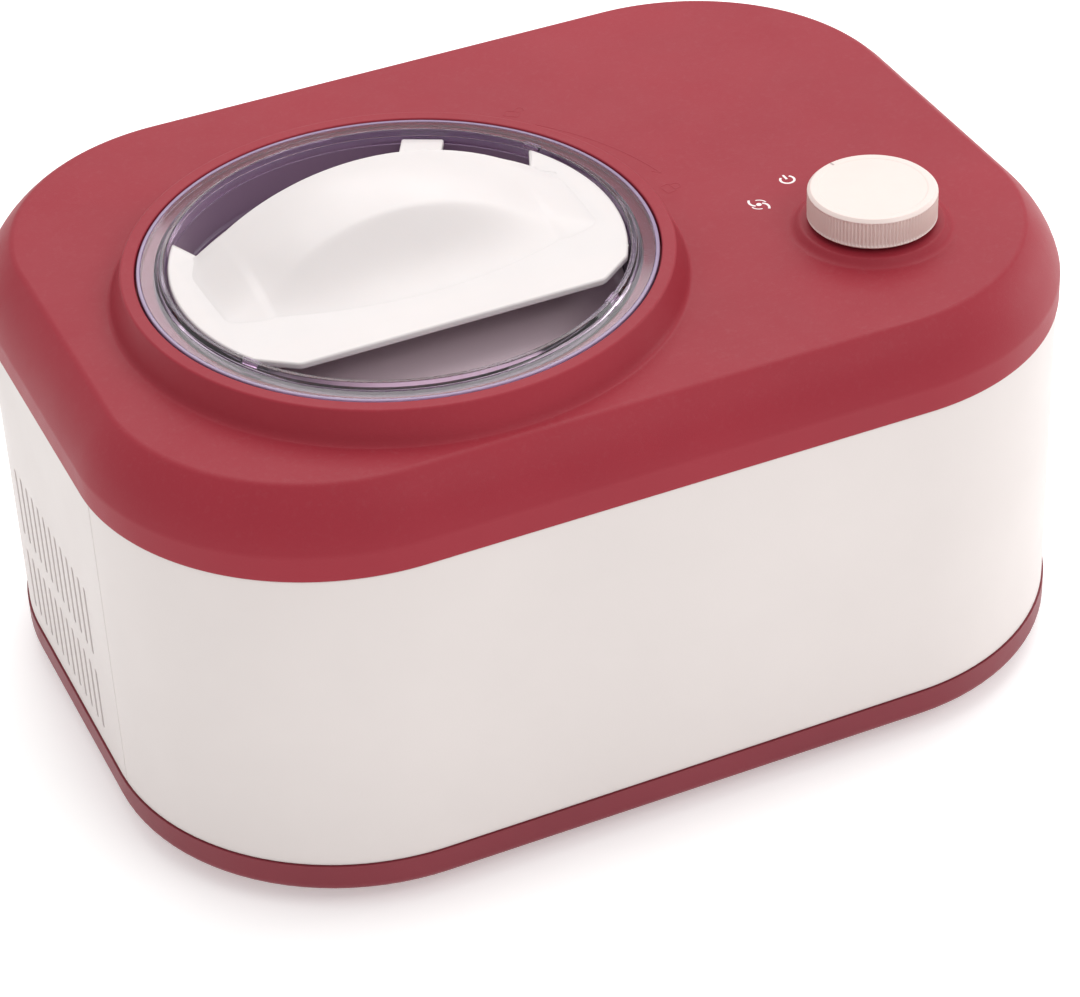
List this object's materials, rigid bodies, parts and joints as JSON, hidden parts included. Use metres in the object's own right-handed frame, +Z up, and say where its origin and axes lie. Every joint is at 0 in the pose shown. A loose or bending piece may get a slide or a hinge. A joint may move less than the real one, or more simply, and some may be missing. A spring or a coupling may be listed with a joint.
{
  "type": "ice cream maker",
  "caption": "Flat compressor ice cream maker with a clear twist-off lid over a lift-out bowl and paddle, a rotary control knob and vented sides.",
  "frame": {"origin": "on the table, under the middle of the body", "axes": "+Z up, +X along the length towards the control knob, -Y is the front"},
  "size_m": [0.4, 0.3, 0.2245],
  "materials": {
    "red_shell": "satin fine grain",
    "cream_shell": "satin",
    "cream_gloss": "satin",
    "rubber": "matte",
    "silicone": "satin",
    "zinc_steel": "zinc plated",
    "stainless": "ground",
    "clear_plastic": "clear, faint violet edge",
    "bowl_aluminium": "spun satin",
    "paddle_plastic": "satin",
    "gear_plastic": "satin",
    "brass": "turned",
    "black_plastic": "satin",
    "copper_tube": "drawn copper",
    "foam": "open foam skin",
    "black_paint": "black enamel",
    "circuit_board": "solder mask",
    "terminal_plastic": "satin"
  },
  "bodies": {
    "housing": {"top_cover": "red_shell", "front_panel": "cream_shell", "left_vent_panel": "cream_shell", "right_vent_panel": "cream_shell", "rear_panel": "cream_shell", "base_tray": "red_shell", "rubber_feet": "rubber", "base_screws": "zinc_steel", "idler_pin": "stainless", "gear_motor": "zinc_steel", "gearbox_case": "black_plastic", "gearbox_cover": "black_plastic", "gearbox_screws": "zinc_steel", "shaft_bush": "brass", "shaft_seal": "rubber", "cooling_can": "bowl_aluminium", "evaporator_coil": "copper_tube", "insulation_jacket": "foam", "compressor": "black_paint", "compressor_grommets": "rubber", "compressor_bolts": "zinc_steel", "start_relay": "black_plastic", "refrigerant_pipes": "copper_tube", "filter_drier": "copper_tube", "condenser_fins": "bowl_aluminium", "condenser_tubes": "copper_tube", "fan_shroud": "black_plastic", "fan_motor": "black_plastic", "rotary_switch": "black_plastic", "control_board": "circuit_board", "board_components": "black_plastic", "board_standoffs": "zinc_steel", "terminal_block": "terminal_plastic", "cord_gland": "rubber"},
    "lid_ring": {"lid_gasket": "silicone"},
    "lid": {"clear_lid": "clear_plastic", "lid_handle": "cream_gloss"},
    "bowl": {"mixing_bowl": "bowl_aluminium"},
    "shaft": {"drive_shaft": "stainless", "output_gear": "gear_plastic"},
    "paddle": {"paddle": "paddle_plastic"},
    "idler": {"idler_gear": "gear_plastic"},
    "motor_rotor": {"motor_pinion": "brass"},
    "fan": {"fan_rotor": "black_plastic"},
    "knob": {"control_knob": "cream_gloss", "knob_shaft": "stainless"}
  },
  "joints": [
    {"name": "lid_lift", "type": "slide", "parent": "housing", "child": "lid_ring", "axis": [0, 0, 1], "range_m": [0, 0.4]},
    {"name": "lid_turn", "type": "hinge", "parent": "lid_ring", "child": "lid", "pos_m": [-0.057, -0.02, 0.19], "axis": [0, 0, 1], "range_deg": [0, 40]},
    {"name": "bowl_lift", "type": "slide", "parent": "housing", "child": "bowl", "axis": [0, 0, 1], "range_m": [0, 0.14]},
    {"name": "drive_spin", "type": "hinge", "parent": "housing", "child": "shaft", "pos_m": [-0.057, -0.02, 0.03], "axis": [0, 0, 1], "continuous": true},
    {"name": "paddle_lift", "type": "slide", "parent": "shaft", "child": "paddle", "axis": [0, 0, 1], "range_m": [0, 0.27]},
    {"name": "idler_spin", "type": "hinge", "parent": "housing", "child": "idler", "pos_m": [0.00406, -0.05815, 0.02], "axis": [0, 0, 1], "continuous": true},
    {"name": "motor_spin", "type": "hinge", "parent": "housing", "child": "motor_rotor", "pos_m": [0.05494, -0.08995, 0.02], "axis": [0, 0, 1], "continuous": true},
    {"name": "fan_spin", "type": "hinge", "parent": "housing", "child": "fan", "pos_m": [0.157, 0, 0.07], "axis": [1, 0, 0], "continuous": true},
    {"name": "knob_turn", "type": "hinge", "parent": "housing", "child": "knob", "pos_m": [0.12, -0.07, 0.19], "axis": [0, 0, 1], "range_deg": [0, 30]}
  ],
  "couplings": [
    {"joint": "bowl_lift", "follows": "lid_lift", "ratio": 0.35},
    {"joint": "paddle_lift", "follows": "lid_lift", "ratio": 0.675},
    {"joint": "drive_spin", "follows": "motor_spin", "ratio": 0.030303},
    {"joint": "idler_spin", "follows": "motor_spin", "ratio": -0.21212}
  ]
}
